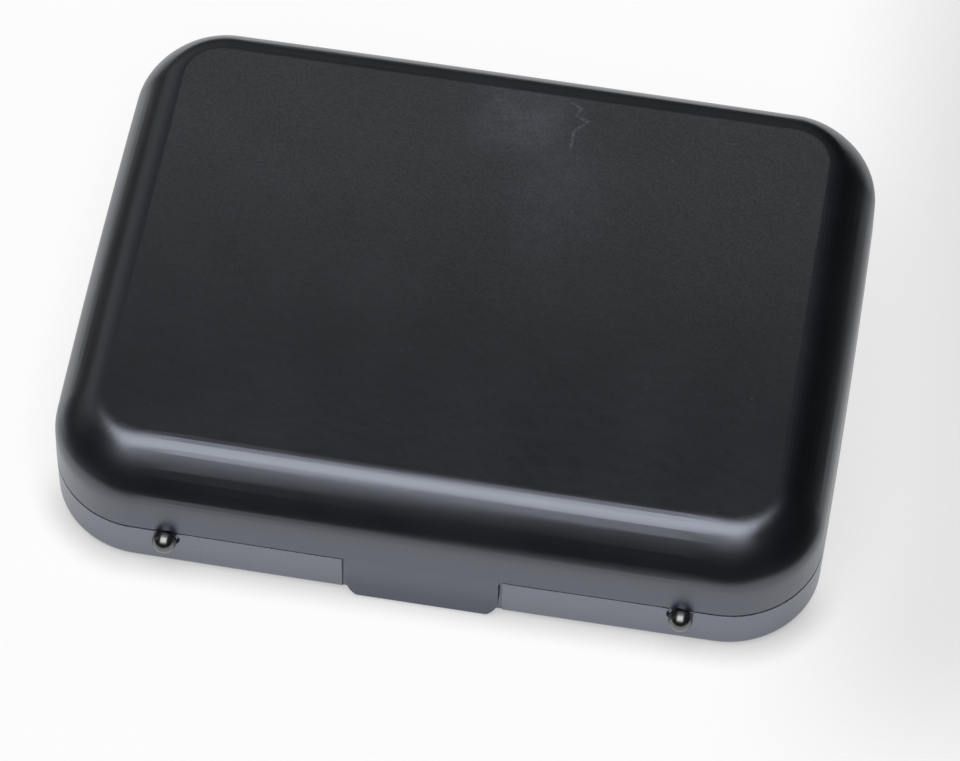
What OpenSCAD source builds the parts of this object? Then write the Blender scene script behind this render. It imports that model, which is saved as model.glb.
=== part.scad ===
// Fly box: a deep lid and a shallow base with two pinned hinges at the back, a snap tab at the front
// and rows of slit foam in both halves.
// The origin is the centre of the base's underside. X is the width, -Y is the front, +Z is up.

/* [Outside] */
// Width at the parting line
box_w = 150; // [130:1:190]
// Depth at the parting line, front wall to back wall
box_d = 112; // [100:1:140]
// Height of the base, underside to parting line
base_h = 11; // [10:0.5:16]
// Height of the lid, parting line to flat top
lid_h = 20; // [19:0.5:30]
// Corner radius in plan at the parting line
corner_r = 18; // [17:0.5:26]
// Dark gap between the lid's edge and the base's edge
parting_gap = 0.35; // [0.25:0.05:0.5]
// Radius along the outer edges that meet at that gap
edge_r = 0.3; // [0.1:0.05:0.35]

/* [Lid shoulder] */
// How far in from the wall the flat top starts
shoulder_w = 10; // [9.4:0.1:11]
// How far below the flat top the shoulder ends
shoulder_h = 12; // [11:0.25:14]
// Radius of the tight arc next to the flat top
crown_r = 6; // [5:0.25:7]
// Radius of the long flatter arc in the middle
slope_r = 21; // [18:0.5:28]
// Radius of the tight arc above the band
foot_r = 9; // [7.5:0.25:10]
// Draft angle of the lid's straight band
band_draft = 1.2; // [0.5:0.1:2]

/* [Walls] */
// Wall and top thickness of the lid
lid_wall = 2.2; // [1.8:0.1:2.6]
// Side wall thickness of the base
base_wall = 2.4; // [2.3:0.1:3]
// Floor thickness of the base
base_floor = 2; // [1.6:0.1:3]
// Outside radius along the bottom edge
bottom_r = 4; // [2.4:0.2:4.4]
// Inside radius where wall meets floor
inner_r = 1; // [0.4:0.1:1.6]

/* [Rim and seal] */
// Thickness of the base's tongue, which stands along the inner edge of its rim
tongue_w = 0.8; // [0.6:0.05:0.9]
// Height of the tongue above the parting line
tongue_h = 1.6; // [1.2:0.1:2]
// Play between tongue and groove on each side
tongue_play = 0.2; // [0.15:0.05:0.3]
// Space left between the tongue and the seal
seal_play = 0.3; // [0.2:0.05:0.5]
// Height of the seal at the bottom of the groove
seal_h = 0.8; // [0.5:0.1:1.2]
// Play between the seal and the groove's walls
seal_side_play = 0.05; // [0.02:0.01:0.1]
// Thickness of the lid's lip inside the groove
lip_w = 0.8; // [0.6:0.1:1.2]
// Material left above the groove
groove_roof = 1.3; // [1:0.1:1.6]

/* [Snap tab] */
// Width of the tab
tab_w = 30.2; // [24:0.2:40]
// Thickness of the tab
tab_t = 1.3; // [1:0.1:1.35]
// How far the tab's lower edge stays above the underside
tab_rise = 0.6; // [0.4:0.1:2]
// Height of the part that leans out for a fingertip
lean_h = 3.6; // [2:0.1:4.5]
// How far the lower edge leans out
lean_out = 1.1; // [0.4:0.05:1.4]
// Radius of the tab's lower corners
tab_corner_r = 4; // [2:0.25:6]
// Radius along the tab's lower outer edge
tab_edge_r = 0.5; // [0.2:0.05:0.8]
// Slit on each side of the tab
tab_slit = 0.6; // [0.4:0.05:1]
// Space behind the tab
tab_back_play = 0.25; // [0.2:0.05:0.35]
// Thickness that backs the base wall up behind the tab
backing_t = 1.2; // [0.8:0.1:2]
// Radius of the snap bead
bead_r = 0.6; // [0.4:0.05:0.8]
// How far the bead stands out of the tab's inner face
bead_out = 0.3; // [0.2:0.02:0.36]
// Height of the bead's line below the parting line
bead_drop = 3.4; // [2.5:0.1:5]
// Width of the bead
bead_w = 18; // [10:0.5:22]
// Play of the bead in its groove
bead_play = 0.1; // [0.05:0.05:0.2]

/* [Snap studs] */
// Distance of each ball stud from the end of the box
stud_inset = 25; // [22:0.5:32]
// Ball radius of a stud's head
ball_r = 2.35; // [1.9:0.05:2.6]
// Distance of the ball's centre out from the front wall
ball_out = 0.75; // [0.2:0.05:1]
// Height of the ball's centre below the parting line
stud_drop = 1.6; // [1.3:0.05:1.8]
// How deep the head's flat back is let into the walls
head_seat = 0.8; // [0.5:0.05:0.9]
// Space behind the head in the base
seat_play = 0.02; // [0.02:0.01:0.1]
// Space behind the head in the lid, which moves
lift_play = 0.1; // [0.05:0.05:0.2]
// Space round the head in its pocket
pocket_play = 0.15; // [0.1:0.05:0.3]
// Radius of the stem that is pressed into the wall
stem_r = 0.8; // [0.5:0.05:1]
// Length of the stem behind the head
stem_len = 2.4; // [1.8:0.1:2.6]
// Radius of the boss behind each stud
boss_r = 1.8; // [1.5:0.1:2.4]
// How far the boss reaches in from the wall
boss_len = 1.8; // [1.4:0.1:2.6]
// Distance from a stud's middle to the end of the raised land between the studs
land_stop = 3.8; // [3.3:0.1:8]
// Height of that land
land_h = 0.15; // [0.05:0.05:0.2]

/* [Hinges] */
// Distance of each hinge's middle from the end of the box
hinge_inset = 30; // [29:0.5:44]
// Barrel radius
barrel_r = 2.5; // [2.2:0.1:3]
// Distance from the back wall to the pin's axis
pin_out = 2.9; // [2.9:0.1:4]
// Pin radius
pin_r = 1; // [0.8:0.05:1.2]
// Running clearance of the pin in the lid's knuckle
pin_play = 0.06; // [0.02:0.01:0.09]
// Length of the lid's knuckle
lid_knuckle = 10; // [6:0.5:16]
// Length of each of the base's knuckles
base_knuckle = 8; // [4:0.5:12]
// Gap between neighbouring knuckles
knuckle_gap = 0.2; // [0.15:0.05:0.4]
// Height of the arms where they leave the walls
arm_h = 6; // [4:0.25:6.5]
// How far the arms run into the walls
arm_root = 0.6; // [0.4:0.1:0.9]
// Space between the barrel and the stop shelf
shelf_play = 0.25; // [0.2:0.05:0.6]
// Reach of the stop shelf beyond the pin's axis
shelf_reach = 2; // [1:0.1:2.4]
// Thickness of the stop shelf at its free edge
shelf_t = 1.2; // [0.8:0.1:2]
// Height of the stop shelf's root on the wall
shelf_root = 4; // [2.5:0.1:4.4]

/* [Foam] */
// Thickness of the sheet under the foam rows
liner_t = 1; // [0.5:0.1:2]
// Space round that sheet
liner_play = 0.5; // [0.3:0.1:1]
// Width of a foam row
row_w = 4.5; // [3:0.1:6]
// Height of the rows in the base
base_row_h = 5; // [3:0.25:6]
// Height of the rows in the lid
lid_row_h = 5.5; // [3:0.25:8]
// Radius along the rows' upper edges
row_edge_r = 0.8; // [0.3:0.1:1.4]
// Border of bare sheet round the rows
row_border = 2.5; // [1:0.25:5]
// Distance between slits
slit_pitch = 5; // [3:0.25:10]
// Width of a slit
slit_w = 0.5; // [0.3:0.05:1]
// Depth of a slit
slit_depth = 3.2; // [1:0.1:4.4]
// Length left whole at each end of a row
slit_margin = 4; // [2:0.25:8]

/* [Hidden] */
$fn = 96;
base_rows = 10;
lid_rows = 9;
// Overlap that joins a boss, arm or land to its wall, and overshoot of a cut
join = 0.4;
over = 5;

black = [0.06, 0.06, 0.065];
foam_grey = [0.62, 0.63, 0.64];
liner_grey = [0.3, 0.31, 0.32];
steel = [0.7, 0.7, 0.71];
seal_grey = [0.35, 0.36, 0.38];

// Heights
lid_z0 = base_h + parting_gap;
lid_z1 = base_h + lid_h;
band_z = lid_z1 - shoulder_h;
groove_top = base_h + tongue_h + seal_play + seal_h;
rim_top = groove_top + groove_roof;

// Distances inward from the outline at the parting line
tongue_in = base_wall - tongue_w;
groove_in0 = tongue_in - tongue_play;
groove_in1 = base_wall + tongue_play;
lip_in = groove_in1 + lip_w;
band_in = (band_z - base_h) * tan(band_draft);
flat_in = band_in + shoulder_w;

// Centres of the shoulder's three arcs in the section, where x runs outward from the corner's axis.
// The slope's arc touches the other two from outside, so its centre is at known distances from theirs.
wall_x = corner_r - band_in;
crown_c = [corner_r - flat_in, lid_z1 - crown_r];
foot_c = [wall_x - foot_r, band_z];
apart = norm(crown_c - foot_c);
along = (crown_c - foot_c) / apart;
shift = (pow(slope_r - foot_r, 2) - pow(slope_r - crown_r, 2) + pow(apart, 2)) / (2 * apart);
slope_c = foot_c + shift * along
    + sqrt(pow(slope_r - foot_r, 2) - pow(shift, 2)) * [-along[1], along[0]];
// Directions in which the arcs meet, seen from the slope's centre
low_a = atan2(foot_c[1] - slope_c[1], foot_c[0] - slope_c[0]);
high_a = atan2(crown_c[1] - slope_c[1], crown_c[0] - slope_c[0]);

// Tab, recess and hinge places
front_y = -box_d / 2;
recess_w = tab_w + 2 * tab_slit;
recess_depth = tab_t + tab_back_play;
tab_z0 = tab_rise;
lean_z = tab_z0 + lean_h;
bead_z = base_h - bead_drop;
axis_y = box_d / 2 + pin_out;
hinge_len = lid_knuckle + 2 * (base_knuckle + knuckle_gap);
hinge_x = box_w / 2 - hinge_inset;
stud_x = box_w / 2 - stud_inset;
land_half = stud_x - land_stop;

// Foam places
base_liner_in = base_wall + inner_r + liner_play;
lid_liner_in = flat_in + liner_play;
base_liner_z = base_floor;
lid_liner_z = lid_z1 - lid_wall;

function unit(v) = v / norm(v);
// Point at an angle on a circle
function on_circle(c, r, a) = c + r * [cos(a), sin(a)];
// Depth of the flat bed that a sheet leaves for its rows, and the rows' spacing on it
function bed_d(inset) = box_d - 2 * inset - 2 * row_border;
function row_pitch(inset, rows) = (bed_d(inset) - row_w) / (rows - 1);
function row_y(inset, rows, k) = (k - (rows + 1) / 2) * row_pitch(inset, rows);
// Half length of the outermost row, short enough for the sheet's round corners
function row_half(inset) =
    let (r = corner_r - inset, beyond = r - row_border)
    box_w / 2 - corner_r + sqrt(pow(r, 2) - pow(beyond, 2)) - row_border;

// The part of a disc that lies outside the chord from p to q
module cap(c, r, p, q) {
    out = unit((p + q) / 2 - c) * r;
    intersection() {
        translate(c) circle(r);
        polygon([p, p + out, q + out, q]);
    }
}

// Section of the lid's outside, or of its inside when it is set in by a wall
module shoulder_section(t, foot) {
    wall = on_circle(foot_c, foot_r - t, 0);
    low = on_circle(foot_c, foot_r - t, low_a);
    high = on_circle(crown_c, crown_r - t, high_a);
    top = on_circle(crown_c, crown_r - t, 90);
    polygon(concat(foot, [wall, low, high, top, [0, top[1]]]));
    cap(foot_c, foot_r - t, wall, low);
    cap(slope_c, slope_r - t, low, high);
    cap(crown_c, crown_r - t, high, top);
}

// Section of the lid's wall, rim, groove and top, from the corner's axis outward
module lid_section() {
    inner_x = wall_x - lid_wall;
    lip_x = corner_r - lip_in;
    rim_slope = inner_x - lip_x;
    difference() {
        union() {
            shoulder_section(0, [[0, lid_z0], [corner_r - edge_r, lid_z0], [corner_r, lid_z0 + edge_r]]);
            cap([corner_r - edge_r, lid_z0 + edge_r], edge_r, [corner_r - edge_r, lid_z0], [corner_r, lid_z0 + edge_r]);
        }
        shoulder_section(lid_wall, [[0, 0], [lip_x, 0], [lip_x, rim_top], [inner_x, rim_top + rim_slope]]);
        translate([corner_r - groove_in1, 0])
            square([groove_in1 - groove_in0, groove_top]);
    }
}

// Upper edge of the base's rim with its outer edge rounded, between two heights
module rim_section(z0, z1, w) {
    x = corner_r - edge_r;
    z = z1 - edge_r;
    polygon([[corner_r - w, z0], [corner_r, z0], [corner_r, z], [x, z1], [corner_r - w, z1]]);
    cap([x, z], edge_r, [corner_r, z], [x, z1]);
}

// Section of the base's floor, wall and tongue
module base_section() {
    difference() {
        union() {
            polygon([[0, 0], [corner_r - bottom_r, 0], [corner_r, bottom_r], [corner_r, base_h - edge_r], [0, base_h - edge_r]]);
            cap([corner_r - bottom_r, bottom_r], bottom_r, [corner_r - bottom_r, 0], [corner_r, bottom_r]);
            rim_section(base_h - 2 * edge_r, base_h, corner_r);
            translate([corner_r - base_wall, base_h - join]) square([tongue_w, tongue_h + join]);
        }
        difference() {
            translate([0, base_floor]) square([corner_r - base_wall, base_h + over]);
            difference() {
                translate([corner_r - base_wall - inner_r, base_floor]) square(inner_r);
                translate([corner_r - base_wall - inner_r, base_floor + inner_r]) circle(inner_r);
            }
        }
    }
}

// Section of the seal ring
module seal_section() {
    translate([corner_r - groove_in1 + seal_side_play, groove_top - seal_h])
        square([groove_in1 - groove_in0 - 2 * seal_side_play, seal_h]);
}

// Carries a section round the plan: four turned corners and four straight runs
module around() {
    run_x = box_w - 2 * corner_r;
    run_y = box_d - 2 * corner_r;
    for (k = [0:3]) {
        sx = k == 0 || k == 3 ? 1 : -1;
        sy = k < 2 ? 1 : -1;
        run = k % 2 == 0 ? run_y : run_x;
        translate([sx * run_x / 2, sy * run_y / 2, 0])
            rotate([0, 0, 90 * k])
                rotate_extrude(angle = 90) children();
        translate([sx * run_x / 2, sy * run_y / 2, 0])
            rotate([0, 0, 90 * k])
                rotate([90, 0, 0])
                    linear_extrude(run) children();
    }
}

// Plate that closes the middle of a swept shell
module middle_plate(z, t) {
    translate([corner_r - box_w / 2, corner_r - box_d / 2, z])
        cube([box_w - 2 * corner_r, box_d - 2 * corner_r, t]);
}

// A profile drawn in the plane of Y and Z and pulled along X about the middle
module along_x(len) {
    rotate([90, 0, 90])
        translate([0, 0, -len / 2])
            linear_extrude(len) children();
}

// Puts a wall section, where x runs outward, on the front wall
module at_front() {
    translate([front_y + corner_r, 0]) mirror([1, 0]) children();
}

module mirrored_x() {
    children();
    mirror([1, 0, 0]) children();
}

// Round pockets for the studs' heads, which straddle the parting line
module stud_pockets(play) {
    mirrored_x()
        translate([stud_x, front_y + head_seat + play, base_h - stud_drop])
            rotate([90, 0, 0])
                cylinder(r = ball_r + pocket_play, h = over);
}

// Section of the tab: straight down, then leaning out to a rounded lower edge
module tab_section() {
    root_z = lid_z0 + join;
    lean_x = corner_r + lean_out;
    polygon([
        [corner_r, root_z],
        [corner_r, lean_z],
        [lean_x, tab_z0 + tab_edge_r],
        [lean_x - tab_edge_r, tab_z0],
        [lean_x - tab_t, tab_z0],
        [corner_r - tab_t, lean_z],
        [corner_r - tab_t, root_z]
    ]);
    cap([lean_x - tab_edge_r, tab_z0 + tab_edge_r], tab_edge_r, [lean_x, tab_z0 + tab_edge_r], [lean_x - tab_edge_r, tab_z0]);
}

module tab() {
    height = lid_z0 + join - tab_z0;
    intersection() {
        along_x(tab_w) at_front() tab_section();
        translate([0, front_y + over, 0])
            rotate([90, 0, 0])
                linear_extrude(2 * over) {
                    translate([-tab_w / 2, tab_z0 + tab_corner_r])
                        square([tab_w, height - tab_corner_r]);
                    translate([tab_corner_r - tab_w / 2, tab_z0])
                        square([tab_w - 2 * tab_corner_r, height]);
                    mirrored_x()
                        translate([tab_w / 2 - tab_corner_r, tab_z0 + tab_corner_r])
                            circle(tab_corner_r);
                }
    }
    bead(0);
}

// Snap bead on the tab's inner face, or with some play the groove that takes it
module bead(play) {
    translate([0, front_y + tab_t + bead_out - bead_r, bead_z])
        rotate([0, 90, 0])
            cylinder(r = bead_r + play, h = bead_w + 2 * play, center = true);
}

// Place of the line from a wall point that just touches the barrel
function touch(p) =
    let (d = norm(p), a = atan2(p[1], p[0]) - acos(barrel_r / d))
    barrel_r * [cos(a), sin(a)];

// Knuckle with its arm to the wall, drawn about the pin's axis; side is 1 above and -1 below
module knuckle_section(side, foot_z, hole) {
    wall_p = [-pin_out, arm_h];
    t = touch(wall_p);
    difference() {
        union() {
            circle(barrel_r);
            polygon([
                [-pin_out - arm_root, side * foot_z],
                [-pin_out - arm_root, side * arm_h],
                [wall_p[0], side * wall_p[1]],
                [t[0], side * t[1]],
                [0, 0],
                [0, side * foot_z]
            ]);
        }
        circle(hole);
    }
}

module at_hinge(x) {
    translate([x, axis_y, base_h]) children();
}

// Ledge on the back wall under the lid's knuckle, which stops the open lid
module stop_shelf() {
    top = -barrel_r - shelf_play;
    along_x(lid_knuckle)
        polygon([
            [-pin_out - arm_root, top],
            [shelf_reach, top],
            [shelf_reach, top - shelf_t],
            [-pin_out, top - shelf_root],
            [-pin_out - arm_root, top - shelf_root]
        ]);
}

module base_hinge() {
    for (side = [-1, 1])
        at_hinge(hinge_x + side * (lid_knuckle + base_knuckle + 2 * knuckle_gap) / 2)
            along_x(base_knuckle) knuckle_section(-1, 0, pin_r);
    at_hinge(hinge_x) stop_shelf();
}

module lid_hinge() {
    at_hinge(hinge_x)
        along_x(lid_knuckle) knuckle_section(1, parting_gap, pin_r + pin_play);
}

// Half round boss under the rim that takes a stud's stem
module stud_boss() {
    boss_y = front_y + base_wall;
    intersection() {
        translate([stud_x, boss_y + boss_len, base_h - stud_drop])
            rotate([90, 0, 0])
                cylinder(r = boss_r, h = boss_len + join);
        translate([stud_x - over, boss_y - join, 0])
            cube([2 * over, boss_len + join, base_h]);
    }
}

module base_shell() {
    color(black) {
        difference() {
            union() {
                around() base_section();
                middle_plate(0, base_floor);
                translate([-recess_w / 2 - backing_t, front_y + base_wall - join, base_floor - join])
                    cube([recess_w + 2 * backing_t, backing_t + join, base_h - base_floor + join]);
                along_x(2 * land_half) at_front() rim_section(base_h - join, base_h + land_h, groove_in0);
                mirrored_x() stud_boss();
            }
            translate([-recess_w / 2, front_y - over, -over])
                cube([recess_w, recess_depth + over, base_h + 2 * over]);
            stud_pockets(seat_play);
            mirrored_x()
                translate([stud_x, front_y + head_seat + stem_len, base_h - stud_drop])
                    rotate([90, 0, 0]) cylinder(r = stem_r, h = stem_len);
            bead(bead_play);
        }
        mirrored_x() base_hinge();
    }
}

module lid_shell() {
    color(black) {
        difference() {
            union() {
                around() lid_section();
                middle_plate(lid_z1 - lid_wall, lid_wall);
            }
            stud_pockets(lift_play);
        }
        tab();
        mirrored_x() lid_hinge();
    }
}

module rim_seal() {
    color(seal_grey) around() seal_section();
}

module hinge_pin(side) {
    color(steel)
        at_hinge(side * hinge_x)
            rotate([0, 90, 0])
                cylinder(r = pin_r, h = hinge_len, center = true);
}

// Ball with a flat back and a stem
module snap_stud(side) {
    back = ball_out + head_seat;
    color(black)
        translate([side * stud_x, front_y - ball_out, base_h - stud_drop]) {
            intersection() {
                sphere(ball_r);
                translate([-over, -over, -over])
                    cube([2 * over, over + back, 2 * over]);
            }
            rotate([-90, 0, 0]) cylinder(r = stem_r, h = back + stem_len);
        }
}

module liner(inset, z) {
    r = corner_r - inset;
    w = box_w - 2 * inset;
    d = box_d - 2 * inset;
    translate([0, 0, z])
        linear_extrude(liner_t) {
            square([w, d - 2 * r], center = true);
            square([w - 2 * r, d], center = true);
            for (sx = [-1, 1], sy = [-1, 1])
                translate([sx * (w / 2 - r), sy * (d / 2 - r)]) circle(r);
        }
}

// One strip of foam that stands on z = 0, cut by slits from its upper side
module foam_row(half, h) {
    slits = floor((half - slit_margin) / slit_pitch);
    difference() {
        along_x(2 * half) {
            translate([-row_w / 2, 0]) square([row_w, h - row_edge_r]);
            translate([row_edge_r - row_w / 2, 0]) square([row_w - 2 * row_edge_r, h]);
            for (side = [-1, 1])
                translate([side * (row_w / 2 - row_edge_r), h - row_edge_r]) circle(row_edge_r);
        }
        for (k = [-slits:slits])
            translate([k * slit_pitch - slit_w / 2, -row_w, h - slit_depth])
                cube([slit_w, 2 * row_w, slit_depth + over]);
    }
}

module base_foam_row(k) {
    color(foam_grey)
        translate([0, row_y(base_liner_in, base_rows, k), base_liner_z + liner_t])
            foam_row(row_half(base_liner_in), base_row_h);
}

module lid_foam_row(k) {
    color(foam_grey)
        translate([0, row_y(lid_liner_in, lid_rows, k), lid_liner_z - liner_t])
            rotate([180, 0, 0])
                foam_row(row_half(lid_liner_in), lid_row_h);
}

base_shell();
lid_shell();
rim_seal();
hinge_pin(-1);  // hinge_pin_left
hinge_pin(1);  // hinge_pin_right
snap_stud(-1);  // snap_stud_left
snap_stud(1);  // snap_stud_right
color(liner_grey) liner(base_liner_in, base_liner_z);  // base_liner
color(liner_grey) liner(lid_liner_in, lid_liner_z - liner_t);  // lid_liner
for (k = [1:base_rows])
    base_foam_row(k);
for (k = [1:lid_rows])
    lid_foam_row(k);
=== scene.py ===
import math

import bmesh
import bpy
from mathutils import Matrix, Vector


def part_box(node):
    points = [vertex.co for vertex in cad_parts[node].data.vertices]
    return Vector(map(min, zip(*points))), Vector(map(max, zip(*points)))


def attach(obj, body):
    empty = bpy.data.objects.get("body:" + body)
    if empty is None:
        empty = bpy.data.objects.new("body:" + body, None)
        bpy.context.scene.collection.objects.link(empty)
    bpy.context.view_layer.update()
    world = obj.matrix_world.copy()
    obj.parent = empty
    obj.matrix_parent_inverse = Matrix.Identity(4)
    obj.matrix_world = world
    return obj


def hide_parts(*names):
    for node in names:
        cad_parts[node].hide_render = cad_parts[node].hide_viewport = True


MM = 0.001

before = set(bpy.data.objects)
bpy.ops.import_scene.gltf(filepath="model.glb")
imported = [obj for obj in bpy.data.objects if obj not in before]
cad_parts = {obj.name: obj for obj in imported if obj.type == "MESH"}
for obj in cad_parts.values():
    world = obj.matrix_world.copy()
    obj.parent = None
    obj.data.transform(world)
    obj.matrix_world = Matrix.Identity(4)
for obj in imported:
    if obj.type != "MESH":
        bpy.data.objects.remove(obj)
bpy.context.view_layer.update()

# Camera, as fitted to the outline, parting line and flat top; lengths in mm, angles in degrees
IMAGE_WIDTH = 960
SENSOR_MM = 36.0
CAM_AZIMUTH = 8.7
CAM_ELEVATION = 56.39
CAM_ROLL = 1.16
CAM_DISTANCE = 970.6
CAM_SHIFT_RIGHT = 1.63
CAM_SHIFT_UP = -11.55
CAM_FOCAL_PX = 4950.0
CAM_TARGET = (0.0, 0.0, 15.0)
CAM_CLIP_M = (0.05, 50)


def make_camera():
    azimuth, elevation, roll = (math.radians(v) for v in (CAM_AZIMUTH, CAM_ELEVATION, CAM_ROLL))
    back = Vector((
        math.sin(azimuth) * math.cos(elevation),
        -math.cos(azimuth) * math.cos(elevation),
        math.sin(elevation),
    ))
    level_right = Vector((math.cos(azimuth), math.sin(azimuth), 0))
    level_up = back.cross(level_right)
    right = level_right * math.cos(roll) + level_up * math.sin(roll)
    up = level_up * math.cos(roll) - level_right * math.sin(roll)
    place = Vector(CAM_TARGET) + right * CAM_SHIFT_RIGHT + up * CAM_SHIFT_UP + back * CAM_DISTANCE
    data = bpy.data.cameras.new("camera")
    data.sensor_width = SENSOR_MM
    data.lens = CAM_FOCAL_PX / IMAGE_WIDTH * SENSOR_MM
    data.clip_start, data.clip_end = CAM_CLIP_M
    camera = bpy.data.objects.new("camera", data)
    turn = Matrix((right, up, back)).transposed()
    camera.matrix_world = Matrix.Translation(place * MM) @ turn.to_4x4()
    bpy.context.scene.collection.objects.link(camera)
    bpy.context.scene.camera = camera


# Small helpers that add nodes to a material or world and give back their outputs
class Nodes:
    def __init__(self, owner):
        owner.use_nodes = True
        self.owner = owner
        self.tree = owner.node_tree
        self.shader = self.tree.nodes.get("Principled BSDF")

    def add(self, kind):
        return self.tree.nodes.new("ShaderNode" + kind)

    def put(self, socket, value):
        if isinstance(value, bpy.types.NodeSocket):
            self.tree.links.new(value, socket)
        else:
            socket.default_value = value

    def object_point(self):
        return self.add("TexCoord").outputs["Object"]

    def split(self, vector):
        node = self.add("SeparateXYZ")
        self.put(node.inputs[0], vector)
        return node.outputs

    def math(self, operation, *values, clamp=False):
        node = self.add("Math")
        node.operation = operation
        node.use_clamp = clamp
        for socket, value in zip(node.inputs, values):
            self.put(socket, value)
        return node.outputs[0]

    def product(self, first, *others):
        for other in others:
            first = self.math("MULTIPLY", first, other)
        return first

    def vector(self, operation, *values):
        node = self.add("VectorMath")
        node.operation = operation
        for socket, value in zip(node.inputs, values):
            self.put(socket, value)
        return node.outputs["Value" if operation in ("LENGTH", "DOT_PRODUCT") else "Vector"]

    def fade(self, value, start, end, low=0.0, high=1.0):
        node = self.add("MapRange")
        node.interpolation_type = "SMOOTHSTEP"
        self.put(node.inputs["Value"], value)
        for name, number in (("From Min", start), ("From Max", end), ("To Min", low), ("To Max", high)):
            node.inputs[name].default_value = number
        return node.outputs["Result"]

    def noise(self, point, size, detail=2.0, roughness=0.5):
        node = self.add("TexNoise")
        self.put(node.inputs["Vector"], point)
        node.inputs["Scale"].default_value = 1 / size
        node.inputs["Detail"].default_value = detail
        node.inputs["Roughness"].default_value = roughness
        return node.outputs["Fac"]

    def mix(self, factor, a, b):
        node = self.add("Mix")
        node.data_type = "RGBA"
        self.put(node.inputs["Factor"], factor)
        self.put(node.inputs["A"], a)
        self.put(node.inputs["B"], b)
        return node.outputs["Result"]

    def mix_shaders(self, factor, a, b):
        node = self.add("MixShader")
        for socket, value in zip(node.inputs, (factor, a, b)):
            self.put(socket, value)
        return node.outputs[0]

    def bump(self, height, depth, strength=1.0):
        node = self.add("Bump")
        node.inputs["Distance"].default_value = depth
        self.put(node.inputs["Strength"], strength)
        self.put(node.inputs["Height"], height)
        self.put(self.shader.inputs["Normal"], node.outputs["Normal"])

    # Distance from a point to the stretch between a and b
    def line_distance(self, point, a, b):
        way = b - a
        from_a = self.vector("SUBTRACT", point, a)
        share = self.vector("DOT_PRODUCT", from_a, way / way.length_squared)
        share = self.math("MULTIPLY", share, 1.0, clamp=True)
        return self.vector("LENGTH", self.vector("MULTIPLY_ADD", share, -way, from_a))


def new_material(name):
    return Nodes(bpy.data.materials.new(name))


# Both shells, in m: the radius and the centre lines of their round corners in plan, how far the lid's flat
# top reaches from those lines, and the heights of the parting line and of the top
base_low, base_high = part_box("base_shell")
lid_low, lid_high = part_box("lid_shell")
CORNER_R = 18 * MM
AXIS_X = base_high.x - CORNER_R
AXIS_Y = -base_low.y - CORNER_R
FLAT_REACH = 7.83 * MM
BASE_TOP = 11 * MM
TOP_Z = lid_high.z

# Studio
FLOOR_HALF = 3.0
FLOOR_COLOUR = (0.92, 0.92, 0.915, 1)
FLOOR_ROUGHNESS = 0.9
FLOOR_SHINE = 0.1
# What the camera and reflections see of the floor: this much of plain white paper, the rest as it is lit.
# The share grows from its front value to its back value between these places along y
PAPER_WHITE = 0.98
PAPER_SHARE_FRONT = 0.72
PAPER_SHARE_BACK = 0.9
PAPER_TURN = (-0.03, 0.08)
# Soft shadow on the paper close to the front edge: its depth, how far under the box it starts and how far
# out it reaches, and the places along y between which it comes in
CONTACT_SHADE = 0.42
CONTACT_UNDER = 2 * MM
CONTACT_REACH = 6 * MM
CONTACT_TURN = (-0.035, -0.05)
# Painted shadow: the paper is this much greyer beside the box at the right. The painted shadow comes in and
# goes out again between these places along x and along y
PAINTED_SHADOW_RIGHT = 0.26
SHADOW_RIGHT_X_IN = (0.055, 0.10)
SHADOW_RIGHT_X_OUT = (0.12, 0.45)
SHADOW_RIGHT_Y_IN = (-0.10, -0.04)
SHADOW_RIGHT_Y_OUT = (0.06, 0.35)
# Softbox in front: a curved wall of strips that is brightest in its middle and fades at both ends, where
# its glow rises and falls between these angles above the front horizon, in degrees
SOFTBOX_MIDDLE = (-0.1, 0.0, 0.02)
SOFTBOX_REACH = 2.45
SOFTBOX_WIDTH = 2.6
SOFTBOX_GLOW = 4.2
SOFTBOX_RISE = (26, 58)
SOFTBOX_FALL = (112, 76)
STRIP_DEGREES = 4
STRIP_ANGLES = range(28, 109, STRIP_DEGREES)
# Reflections show the paper only as far as a sheet reaches: its middle, half size and soft edge
SHEET_MIDDLE = (-0.008, 0.0275, 0)
SHEET_HALF = (0.110, 0.1225, 1)
SHEET_EDGE = 0.025
SHEET_BEYOND = (0.012, 0.012, 0.012, 1)
# World: a dark room with a dim window side at the left and back; the camera sees a pale wall instead
ROOM = 0.002
WINDOW = 0.42
WINDOW_COLOUR = (1.0, 0.97, 0.91)
PALE_WALL = 0.95
# The window's glow falls off towards the right, the front, the floor, straight up and far behind, each
# between these parts of the direction; the last two stop at a lesser glow
GLOW_X = (-0.2, 0.35)
GLOW_Y = (-0.4, 0.3)
GLOW_Z = (-0.6, 0.5)
GLOW_Z_HIGH = (0.5, 0.85)
HIGH_SHARE = 0.1
GLOW_Y_FAR = (0.6, 0.95)
FAR_SHARE = 0.4


# Distance of each point from the corners' axes in plan, inside a material
def plan_reach(n, point):
    beyond = n.vector("SUBTRACT", n.vector("ABSOLUTE", point), (AXIS_X, AXIS_Y, 1))
    return n.vector("LENGTH", n.vector("MAXIMUM", beyond, (0, 0, 0)))


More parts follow.
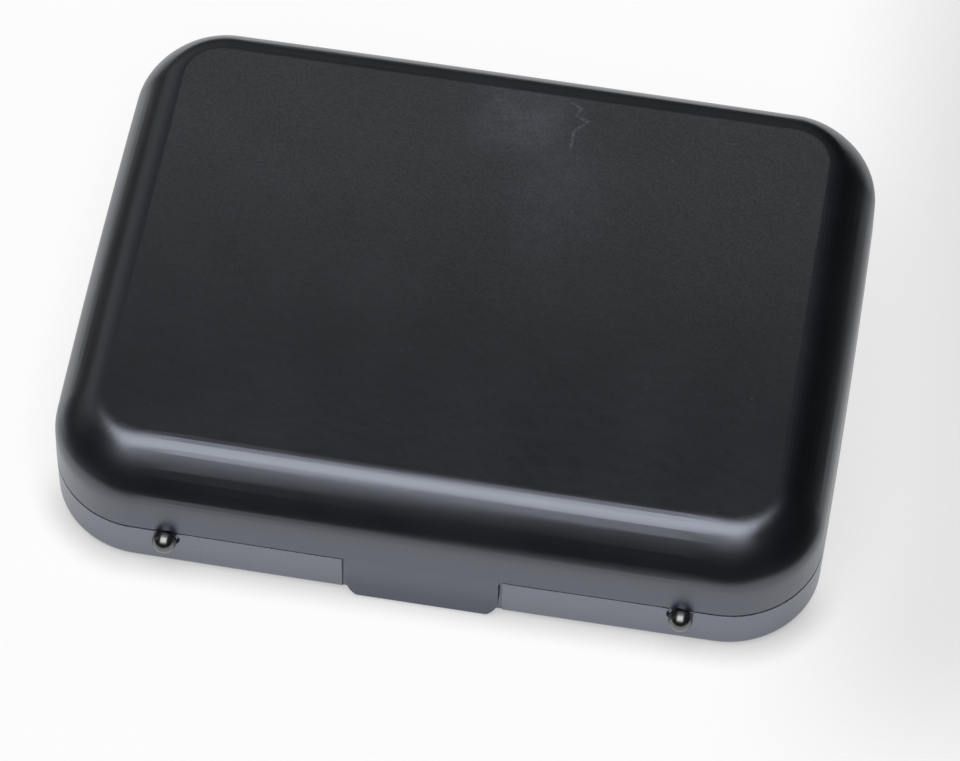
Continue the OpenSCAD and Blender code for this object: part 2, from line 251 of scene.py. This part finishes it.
def make_floor():
    corners = [(x * FLOOR_HALF, y * FLOOR_HALF, 0) for x, y in ((-1, -1), (1, -1), (1, 1), (-1, 1))]
    mesh = bpy.data.meshes.new("floor")
    mesh.from_pydata(corners, [], [(0, 1, 2, 3)])
    floor = bpy.data.objects.new("floor", mesh)
    bpy.context.scene.collection.objects.link(floor)
    n = new_material("floor")
    n.shader.inputs["Base Color"].default_value = FLOOR_COLOUR
    n.shader.inputs["Roughness"].default_value = FLOOR_ROUGHNESS
    n.shader.inputs["Specular IOR Level"].default_value = FLOOR_SHINE
    rays = n.add("LightPath").outputs
    paper = n.add("Emission")
    paper.inputs["Color"].default_value = (PAPER_WHITE, PAPER_WHITE, PAPER_WHITE, 1)
    point = n.object_point()
    x, y, _ = n.split(point)
    # Painted shadow: the paper's glow is lowered beside the box at the right
    beside = n.product(n.fade(x, *SHADOW_RIGHT_X_IN), n.fade(x, *SHADOW_RIGHT_X_OUT, 1.0, 0.0))
    along = n.product(n.fade(y, *SHADOW_RIGHT_Y_IN), n.fade(y, *SHADOW_RIGHT_Y_OUT, 1.0, 0.0))
    shadow_at_right = n.product(beside, along, PAINTED_SHADOW_RIGHT)
    reach = plan_reach(n, point)
    close = n.fade(reach, CORNER_R - CONTACT_UNDER, CORNER_R + CONTACT_REACH, CONTACT_SHADE, 0.0)
    at_front = n.math("MULTIPLY", close, n.fade(y, *CONTACT_TURN))
    n.put(paper.inputs["Strength"], n.math("SUBTRACT", n.math("SUBTRACT", 1.0, shadow_at_right), at_front))
    mirrored = n.math("MAXIMUM", rays["Is Glossy Ray"], rays["Is Transmission Ray"])
    seen = n.math("MAXIMUM", rays["Is Camera Ray"], mirrored)
    share = n.product(seen, n.fade(y, *PAPER_TURN, PAPER_SHARE_FRONT, PAPER_SHARE_BACK))
    sheet = n.mix_shaders(share, n.shader.outputs[0], paper.outputs[0])
    offset = n.vector("ABSOLUTE", n.vector("SUBTRACT", point, SHEET_MIDDLE))
    outside = n.vector("LENGTH", n.vector("MAXIMUM", n.vector("SUBTRACT", offset, SHEET_HALF), (0, 0, 0)))
    dark = n.add("BsdfDiffuse")
    dark.inputs["Color"].default_value = SHEET_BEYOND
    beyond = n.math("MULTIPLY", n.fade(outside, 0.0, SHEET_EDGE), rays["Is Glossy Ray"])
    surface = n.mix_shaders(beyond, sheet, dark.outputs[0])
    n.put(n.tree.nodes["Material Output"].inputs["Surface"], surface)
    mesh.materials.append(n.owner)


# The same soft step as Nodes.fade, for plain numbers
def smooth(value, start, end):
    t = min(max((value - start) / (end - start), 0), 1)
    return t * t * (3 - 2 * t)


def make_softbox():
    middle = Vector(SOFTBOX_MIDDLE)
    strip_height = 2 * SOFTBOX_REACH * math.tan(math.radians(STRIP_DEGREES) / 2)
    for number, angle in enumerate(STRIP_ANGLES):
        data = bpy.data.lights.new(f"softbox_strip_{number}", "AREA")
        data.shape = "RECTANGLE"
        data.size = SOFTBOX_WIDTH
        data.size_y = strip_height
        glow = SOFTBOX_GLOW * smooth(angle, *SOFTBOX_RISE) * smooth(angle, *SOFTBOX_FALL)
        data.energy = math.pi * data.size * data.size_y * glow
        turn = math.radians(angle)
        way = Vector((0, -math.cos(turn), math.sin(turn)))
        light = bpy.data.objects.new(data.name, data)
        place = Matrix.Translation(middle + way * SOFTBOX_REACH)
        light.matrix_world = place @ Matrix.Rotation(math.pi / 2 - turn, 4, "X")
        bpy.context.scene.collection.objects.link(light)


def make_world():
    world = bpy.data.worlds.new("studio")
    n = Nodes(world)
    x, y, z = n.split(n.add("TexCoord").outputs["Generated"])
    to_left = n.fade(x, *GLOW_X, WINDOW, 0.0)
    to_back = n.fade(y, *GLOW_Y)
    low = n.fade(z, *GLOW_Z)
    high = n.fade(z, *GLOW_Z_HIGH, 1.0, HIGH_SHARE)
    far_back = n.fade(y, *GLOW_Y_FAR, 1.0, FAR_SHARE)
    glow = n.math("ADD", n.product(to_left, to_back, low, high, far_back), ROOM)
    room = n.tree.nodes["Background"]
    n.put(room.inputs["Color"], n.vector("MULTIPLY", WINDOW_COLOUR, glow))
    wall = n.add("Background")
    wall.inputs["Color"].default_value = (PALE_WALL, PALE_WALL, PALE_WALL, 1)
    camera_ray = n.add("LightPath").outputs["Is Camera Ray"]
    surface = n.mix_shaders(camera_ray, room.outputs[0], wall.outputs[0])
    n.put(n.tree.nodes["World Output"].inputs["Surface"], surface)
    bpy.context.scene.world = world


# The walls bow outward, so that their ends fall short of their middles by this much. The mesh is cut at such
# steps first, so that it can bend
BOW_FRONT = 0.3 * MM
BOW_SIDE = 0.6 * MM
BOW_CUT = 9.5 * MM
# What counts as the outside: points this far in from the wall, by the base's foot more of them, and under
# this height all of them; above the lid's band, those that face up or outward by more than this
SKIN = 0.7 * MM
FOOT_SKIN = 1.5 * MM
UNDERSIDE = 1.9 * MM
LID_BAND = 4 * MM
FACING = 0.2
# Slack when points are compared
TOUCH = 0.01 * MM
WELD = 1e-7
# The land between the studs, and the small radius that the base's rim has in place of its CAD radius
LAND_HALF = 46.2 * MM
LAND_TOP = 11.15 * MM
RIM_CAD_R = 0.3 * MM
RIM_R = 0.07 * MM
# The tab's foot stands this far out. It gets there in one soft sweep from its top down, where the CAD tab
# is straight as far as its crease
TAB_LEAN = 1.1 * MM
SWEEP_TOP = 7.0 * MM
CREASE = 4.2 * MM
TAB_FOOT = 0.6 * MM
# Half the tab's width, the plane behind it, the steps between its cuts and the room around it that they take
TAB_HALF = 15.12 * MM
TAB_BACK = 54.2 * MM
TAB_CUT = 0.6 * MM
TAB_MARGIN = 1 * MM
# Each side of the tab stands this much clear of its CAD side, below this height
TAB_SLIM = 0.25 * MM
SLIM_TOP = 10.9 * MM
SLIM_FULL = 10.4 * MM
# Radius along the base's lower edge: in the CAD, and here
FOOT_CAD_R = 4.0 * MM
FOOT_R = 2.5 * MM
# Edges that bend more than this stay sharp
SHARP_ANGLE = math.radians(32)


# Distance of a point from the corners' axes, which is its place along the wall's section
def section_reach(co):
    return math.hypot(max(abs(co.x) - AXIS_X, 0), max(abs(co.y) - AXIS_Y, 0))


# Whether a point belongs to a shell's outside, and not to its inside, knuckles or tab
def is_outside(co, normal, lid):
    reach = section_reach(co)
    if reach > CORNER_R + 5 * TOUCH:
        return False
    if reach > CORNER_R - SKIN:
        return True
    if lid:
        outward = normal.x * math.copysign(1, co.x) + normal.y * math.copysign(1, co.y)
        return co.z > BASE_TOP + LID_BAND and max(normal.z, outward) > FACING
    return co.z < UNDERSIDE or (co.z < FOOT_CAD_R and reach > CORNER_R - FOOT_SKIN)


# Draws a point of the outside in towards the middle, most at the corners
def bow(co):
    share_x = co.x / (AXIS_X + CORNER_R)
    share_y = co.y / (AXIS_Y + CORNER_R)
    co.x -= BOW_SIDE * share_y ** 2 * share_x
    co.y -= BOW_FRONT * share_x ** 2 * share_y


# Moves a point away from the corners' axes
def move_out(co, reach, new_reach):
    for axis, half in ((0, AXIS_X), (1, AXIS_Y)):
        beyond = abs(co[axis]) - half
        if beyond > 0:
            co[axis] = math.copysign(half + beyond * new_reach / reach, co[axis])


# Draws the rim's round edge in towards its corner, which leaves a dark line at the parting
def sharpen_rim(co):
    past_end = abs(co.x) - LAND_HALF
    on_land = co.y < 0 and (past_end < 0 or past_end < TOUCH / 2 and co.z > BASE_TOP)
    top = LAND_TOP if on_land else BASE_TOP
    reach = section_reach(co)
    if reach < CORNER_R - RIM_CAD_R - TOUCH or not top - RIM_CAD_R < co.z < top + TOUCH:
        return
    share = RIM_R / RIM_CAD_R
    co.z = top - (top - co.z) * share
    move_out(co, reach, CORNER_R - (CORNER_R - reach) * share)


# Makes the round lower edge of the base tighter. Only points on that edge move
def tighten_foot(co):
    reach = section_reach(co)
    inset = FOOT_CAD_R - (CORNER_R - reach)
    if inset < -2 * TOUCH or co.z > FOOT_CAD_R + 2 * TOUCH:
        return
    if abs(math.hypot(inset, FOOT_CAD_R - co.z) - FOOT_CAD_R) > 6 * TOUCH:
        return
    share = FOOT_R / FOOT_CAD_R
    co.z *= share
    move_out(co, reach, CORNER_R - (CORNER_R - reach) * share)


# Bends the tab outward softly: swaps the straight lean of the CAD tab for a parabola with the same foot
def sweep_tab(co):
    if abs(co.x) > TAB_HALF or co.y > -TAB_BACK or not TAB_FOOT < co.z < SWEEP_TOP:
        return
    soft = TAB_LEAN * ((SWEEP_TOP - co.z) / (SWEEP_TOP - TAB_FOOT)) ** 2
    creased = TAB_LEAN * max((CREASE - co.z) / (CREASE - TAB_FOOT), 0)
    co.y -= soft - creased


# Opens the slits beside the tab
def slim_tab(co):
    if abs(co.x) < TAB_HALF + 10 * TOUCH and co.y < -TAB_BACK and co.z < SLIM_TOP:
        co.x -= TAB_SLIM * co.x / TAB_HALF * smooth(co.z, SLIM_TOP, SLIM_FULL)


# Cuts the faces of a part of the mesh, or all of them, at each of these places along an axis
def cut(bm, axis, places, part=None):
    normal = Vector([1 if k == axis else 0 for k in range(3)])
    for place in places:
        faces = [f for f in bm.faces if part is None or part(f)]
        edges = {e for f in faces for e in f.edges}
        verts = {v for f in faces for v in f.verts}
        geometry = faces + list(edges) + list(verts)
        bmesh.ops.bisect_plane(bm, geom=geometry, dist=WELD, plane_co=normal * place, plane_no=normal)


def on_tab(face):
    middle = face.calc_center_median()
    beside = abs(middle.x) > TAB_HALF + TAB_MARGIN
    return middle.y < -TAB_BACK and middle.z < BASE_TOP + 2 * TAB_MARGIN and not beside


# Places every BOW_CUT across the straight stretch of a wall
def bow_cuts(half):
    count = round(half / BOW_CUT)
    return [k * BOW_CUT for k in range(-count, count + 1)]


# Heights of the cuts that let the tab bend and grow slim
def tab_cuts():
    count = int((SWEEP_TOP - TAB_FOOT) / TAB_CUT)
    return [TAB_FOOT + k * TAB_CUT for k in range(1, count + 1)] + [SLIM_FULL, SLIM_TOP]


# Stands for a shell: the CAD shape with bowed walls, a crisp rim and tighter foot on the base, and a slim,
# softly swept tab on the lid
def moulded_shell(node_name, body, material):
    lid = body == "lid"
    bm = bmesh.new()
    bm.from_mesh(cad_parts[node_name].data)
    bmesh.ops.remove_doubles(bm, verts=bm.verts, dist=WELD)
    bmesh.ops.dissolve_degenerate(bm, edges=bm.edges, dist=WELD)
    cut(bm, 0, bow_cuts(AXIS_X))
    cut(bm, 1, bow_cuts(AXIS_Y))
    if lid:
        cut(bm, 2, tab_cuts(), on_tab)
    bm.normal_update()
    for vert in bm.verts:
        outside = is_outside(vert.co, vert.normal, lid)
        if lid:
            sweep_tab(vert.co)
            slim_tab(vert.co)
        else:
            sharpen_rim(vert.co)
            tighten_foot(vert.co)
        if outside:
            bow(vert.co)
    bm.normal_update()
    for edge in bm.edges:
        edge.smooth = len(edge.link_faces) == 2 and edge.calc_face_angle() < SHARP_ANGLE
    for face in bm.faces:
        face.smooth = True
    mesh = bpy.data.meshes.new(node_name + "_moulded")
    bm.to_mesh(mesh)
    bm.free()
    piece = bpy.data.objects.new(node_name + "_moulded", mesh)
    bpy.context.scene.collection.objects.link(piece)
    mesh.materials.append(material)
    weighted = piece.modifiers.new("weighted", "WEIGHTED_NORMAL")
    weighted.mode = "FACE_AREA_WITH_ANGLE"
    weighted.keep_sharp = True
    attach(piece, body)
    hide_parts(node_name)


# Haze and scuffs on the top, as seen from above, in mm. The haze is partly dust and partly a painted sheen
# that lightens the top towards its back middle
HAZE_AND_SHEEN_CENTRE = (4.0, 40.0)
HAZE_AND_SHEEN_REACH = (15.0, 15.0)
SMEAR_CENTRE = (12.0, 22.0)
SMEAR_REACH = (14.0, 22.0)
HAZE_AND_SHEEN_SHARE = 0.62
SMEAR_SHARE = 0.2
ZIGZAG = ((12.2, 44.4), (14.5, 43.3), (13.6, 41.3), (16.3, 40.3), (13.9, 37.4), (13.9, 33.5))
STREAK = ((-2.2, 43.8), (1.2, 35.2))
# The share of a patch's reach within which it is full
PATCH_CORE = 0.1
# Where the flat top's look ends, in reach from the corners' axes and in height, in m
FLAT_EDGE = (FLAT_REACH - 0.4 * MM, FLAT_REACH + 0.1 * MM)
FLAT_HEIGHT = (TOP_Z - 0.6 * MM, TOP_Z - 0.2 * MM)
# Noise patterns here and below are sizes, with the detail and, where it isn't the usual one, the roughness:
# the clouds in the haze and painted sheen, with the least that they leave of it, and the gaps in the
# scratches, with the noise and the shares between which a scratch thins out
HAZE_AND_SHEEN_CLOUD = (5 * MM, 4.0, 0.65)
HAZE_AND_SHEEN_LEAST = 0.35
SCRATCH_GAP = (1.6 * MM, 3.0)
SCRATCH_THIN = (0.3, 0.65, 0.25, 1.0)
# Noise between these two values is spread over the whole range
CONTRAST = (0.3, 0.7)
# From full to nothing, the distance from a scratch's line and from the streak's, in m
SCRATCH_EDGE = (0.05 * MM, 0.55 * MM)
STREAK_EDGE = (0.1 * MM, 1.5 * MM)
STREAK_SHARE = 0.7

# Colours of the matte top: its front and its back, between which a painted sheen lightens it towards the
# back, its haze, which is partly dust and partly painted sheen, and its few specks of dust
MATTE_FRONT_PAINTED_SHADE = (0.0014, 0.0013, 0.0011, 1)
MATTE_BACK_PAINTED_SHEEN = (0.0260, 0.0268, 0.0280, 1)
HAZE_AND_SHEEN_COLOUR = (0.068, 0.074, 0.086, 1)
DUST_COLOUR = (0.10, 0.09, 0.08, 1)
DUST = (0.6 * MM, 0.0)
DUST_EDGE = (0.86, 0.9)
DUST_SHARE = 0.6
# Painted reflection on the lid's upright wall, which looks bluer than its shoulder: a lighter, bluer colour
# that comes in between these heights
WALL_PAINTED_REFLECTION = (0.0160, 0.0185, 0.0290, 1)
WALL_REFLECTION_FADE = (20 * MM, 16 * MM)
# The plastic of each shell, between two tones
LID_BLACK = ((0.0044, 0.0048, 0.0060, 1), (0.0058, 0.0063, 0.0078, 1))
LID_ROUGHNESS = 0.31
LID_IOR = 2.0
BASE_BLACK = ((0.034, 0.039, 0.053, 1), (0.043, 0.049, 0.066, 1))
BASE_ROUGHNESS = 0.28
BASE_IOR = 2.45
# Patterns of the cloudy tone, the grain, the orange peel and the mottle, and how much of each there is
CLOUD = (22 * MM, 3.0, 0.6)
GRAIN = (0.34 * MM, 2.0, 0.6)
PEEL = (2.6 * MM, 1.0)
MOTTLE = (0.42 * MM, 3.0, 0.75)
MOTTLE_RANGE = (0.25, 0.75, 0.45, 1.55)
SATIN_SPREAD = 0.09
PEEL_HEIGHT = 3.0
GRAIN_HEIGHT = 1.1
RELIEF_DEPTH = 0.02 * MM
RELIEF = 0.22
# The flat top has this much more relief and roughness than the rest of the lid
FLAT_RELIEF = 0.5
FLAT_ROUGHER = 0.02
SHINE_TINT = (0.81, 0.86, 1.0, 1)


def on_top(x, y):
    return Vector((x * MM, y * MM, TOP_Z))


# 1 at the middle of an ellipse on the top and 0 outside it
def patch(n, point, centre, reach):
    way = n.vector("SUBTRACT", point, on_top(*centre))
    way = n.vector("DIVIDE", way, (reach[0] * MM, reach[1] * MM, 1))
    return n.fade(n.vector("LENGTH", way), PATCH_CORE, 1.0, 1.0, 0.0)


# 1 on the lid's flat top and 0 on its shoulder and everywhere else
def flat_mask(n, point):
    inside = n.fade(plan_reach(n, point), *FLAT_EDGE, 1.0, 0.0)
    high = n.fade(n.split(point)[2], *FLAT_HEIGHT)
    return n.math("MULTIPLY", inside, high)


# How much the top is worn, dusty and lightened by painted sheen at each point
def top_wear_and_sheen(n, point):
    cloudy = n.fade(n.noise(point, *HAZE_AND_SHEEN_CLOUD), *CONTRAST, HAZE_AND_SHEEN_LEAST, 1.0)
    haze_and_sheen = n.product(patch(n, point, HAZE_AND_SHEEN_CENTRE, HAZE_AND_SHEEN_REACH), cloudy, HAZE_AND_SHEEN_SHARE)
    smear = n.product(patch(n, point, SMEAR_CENTRE, SMEAR_REACH), cloudy, SMEAR_SHARE)
    wear_and_sheen = n.math("ADD", haze_and_sheen, smear)
    thin = n.fade(n.noise(point, *SCRATCH_GAP), *SCRATCH_THIN)
    for a, b in zip(ZIGZAG, ZIGZAG[1:]):
        near = n.line_distance(point, on_top(*a), on_top(*b))
        scratch = n.product(n.fade(near, *SCRATCH_EDGE, 1.0, 0.0), thin)
        wear_and_sheen = n.math("MAXIMUM", wear_and_sheen, scratch)
    near = n.line_distance(point, on_top(*STREAK[0]), on_top(*STREAK[1]))
    return n.math("MAXIMUM", wear_and_sheen, n.product(n.fade(near, *STREAK_EDGE, STREAK_SHARE, 0.0), thin))


# Black moulded plastic with a fine orange peel; the lid's flat top is matte, grained, a little dusty and
# lightened towards its back by painted sheen, and the lid's upright wall carries a painted reflection
def shell_plastic(name, colour, colour_high, roughness, ior, matte_top=False):
    n = new_material(name)
    point = n.object_point()
    cloud = n.noise(point, *CLOUD)
    grain = n.noise(point, *GRAIN)
    orange_peel = n.noise(point, *PEEL)
    satin = n.math("MULTIPLY_ADD", cloud, SATIN_SPREAD, roughness - SATIN_SPREAD / 2)
    base = n.mix(n.fade(cloud, *CONTRAST), colour, colour_high)
    height = n.math("MULTIPLY_ADD", orange_peel, PEEL_HEIGHT, n.math("MULTIPLY", grain, GRAIN_HEIGHT))
    strength = RELIEF
    if matte_top:
        flat = flat_mask(n, point)
        # Painted sheen: the top's colour turns from the darker front to the lighter back
        to_back = n.fade(n.split(point)[1], -AXIS_Y - FLAT_REACH, AXIS_Y + FLAT_REACH)
        mottle = n.fade(n.noise(point, *MOTTLE), *MOTTLE_RANGE)
        matte = n.vector("SCALE", n.mix(to_back, MATTE_FRONT_PAINTED_SHADE, MATTE_BACK_PAINTED_SHEEN), (0, 0, 0), (0, 0, 0), mottle)
        # Haze, scuffs and scratches on the top; the haze is partly dust and partly painted sheen
        matte = n.mix(n.math("MULTIPLY", top_wear_and_sheen(n, point), mottle), matte, HAZE_AND_SHEEN_COLOUR)
        dust = n.fade(n.noise(point, *DUST), *DUST_EDGE, 0.0, DUST_SHARE)
        matte = n.mix(dust, matte, DUST_COLOUR)
        # Painted reflection: the lid's upright wall is coloured lighter and bluer than its shoulder
        base = n.mix(n.fade(n.split(point)[2], *WALL_REFLECTION_FADE), base, WALL_PAINTED_REFLECTION)
        base = n.mix(flat, base, matte)
        satin = n.math("MULTIPLY_ADD", flat, FLAT_ROUGHER, satin)
        strength = n.math("MULTIPLY_ADD", flat, FLAT_RELIEF, strength)
    n.put(n.shader.inputs["Base Color"], base)
    n.put(n.shader.inputs["Roughness"], satin)
    n.shader.inputs["IOR"].default_value = ior
    n.shader.inputs["Specular Tint"].default_value = SHINE_TINT
    n.bump(height, RELIEF_DEPTH, strength)
    return n.owner


# The smaller pieces: two tones each, the pattern between them, the least roughness with what the pattern
# adds to it, and the depth and strength of the relief
STUD_BLACK = ((0.006, 0.006, 0.007, 1), (0.010, 0.011, 0.013, 1))
STUD_CLOUD = (1.2 * MM, 2.0)
STUD_ROUGHNESS = (0.17, 0.08)
STUD_IOR = 2.2
STUD_RELIEF = (0.02 * MM, 0.3)
STEEL_GREY = ((0.42, 0.42, 0.43, 1), (0.62, 0.62, 0.63, 1))
STEEL_LINES = (3 * MM, 3.0, 0.7)
STEEL_SQUEEZE = (40, 1, 1)
STEEL_ROUGHNESS = (0.22, 0.2)
STEEL_RELIEF = (0.01 * MM, 0.4)
SEAL_GREY = ((0.14, 0.145, 0.155, 1), (0.19, 0.195, 0.205, 1))
SEAL_CLOUD = (6 * MM, 3.0)
SEAL_GRAIN = (0.4 * MM, 2.0)
SEAL_ROUGHNESS = (0.5, 0.12)
SEAL_RELIEF = (0.02 * MM, 0.4)
ROW_GREY = ((0.30, 0.31, 0.32, 1), (0.46, 0.47, 0.48, 1))
ROW_CELLS = (0.5 * MM, 3.0, 0.7)
SHEET_GREY = ((0.065, 0.068, 0.074, 1), (0.115, 0.12, 0.13, 1))
SHEET_CELLS = (0.35 * MM, 3.0, 0.7)
FOAM_CLOUD = (18 * MM, 3.0)
FOAM_CELL_SHARE = 0.65
FOAM_ROUGHNESS = (0.82, 0.1)
FOAM_SHINE = 0.25
FOAM_RELIEF = (0.12 * MM, 0.8)


# Gives a material its tones and roughness by a pattern
def tone_and_roughness(n, pattern, tones, roughness, rough_pattern):
    n.put(n.shader.inputs["Base Color"], n.mix(pattern, *tones))
    lowest, spread = roughness
    n.put(n.shader.inputs["Roughness"], n.math("MULTIPLY_ADD", rough_pattern, spread, lowest))


def gloss_plastic():
    n = new_material("stud_plastic")
    cloud = n.noise(n.object_point(), *STUD_CLOUD)
    tone_and_roughness(n, cloud, STUD_BLACK, STUD_ROUGHNESS, cloud)
    n.shader.inputs["IOR"].default_value = STUD_IOR
    n.bump(cloud, *STUD_RELIEF)
    return n.owner


def brushed_steel():
    n = new_material("pin_steel")
    lines = n.noise(n.vector("MULTIPLY", n.object_point(), STEEL_SQUEEZE), *STEEL_LINES)
    tone_and_roughness(n, lines, STEEL_GREY, STEEL_ROUGHNESS, lines)
    n.shader.inputs["Metallic"].default_value = 1.0
    n.bump(lines, *STEEL_RELIEF)
    return n.owner


def silicone():
    n = new_material("seal_silicone")
    point = n.object_point()
    cloud = n.noise(point, *SEAL_CLOUD)
    tone_and_roughness(n, cloud, SEAL_GREY, SEAL_ROUGHNESS, cloud)
    n.bump(n.noise(point, *SEAL_GRAIN), *SEAL_RELIEF)
    return n.owner


def foam(name, tones, pattern):
    n = new_material(name)
    point = n.object_point()
    cells = n.noise(point, *pattern)
    cloud = n.noise(point, *FOAM_CLOUD)
    cell_tone = n.math("MULTIPLY", n.fade(cells, *CONTRAST), FOAM_CELL_SHARE)
    cloud_tone = n.math("MULTIPLY", cloud, 1 - FOAM_CELL_SHARE)
    tone_and_roughness(n, n.math("ADD", cell_tone, cloud_tone), tones, FOAM_ROUGHNESS, cells)
    n.shader.inputs["Specular IOR Level"].default_value = FOAM_SHINE
    n.bump(cells, *FOAM_RELIEF)
    return n.owner


make_camera()
make_floor()
make_softbox()
make_world()

# The material of each node, by a word in its name
MATERIALS = {
    "lid_shell": shell_plastic("lid_plastic", *LID_BLACK, LID_ROUGHNESS, LID_IOR, matte_top=True),
    "base_shell": shell_plastic("base_plastic", *BASE_BLACK, BASE_ROUGHNESS, BASE_IOR),
    "stud": gloss_plastic(),
    "pin": brushed_steel(),
    "seal": silicone(),
    "liner": foam("sheet_foam", SHEET_GREY, SHEET_CELLS),
    "foam_row": foam("row_foam", ROW_GREY, ROW_CELLS),
}
for node_name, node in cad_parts.items():
    word = next(w for w in MATERIALS if w in node_name)
    node.data.materials.clear()
    node.data.materials.append(MATERIALS[word])
moulded_shell("base_shell", "base", MATERIALS["base_shell"])
moulded_shell("lid_shell", "lid", MATERIALS["lid_shell"])

bpy.context.scene.view_settings.view_transform = "Standard"
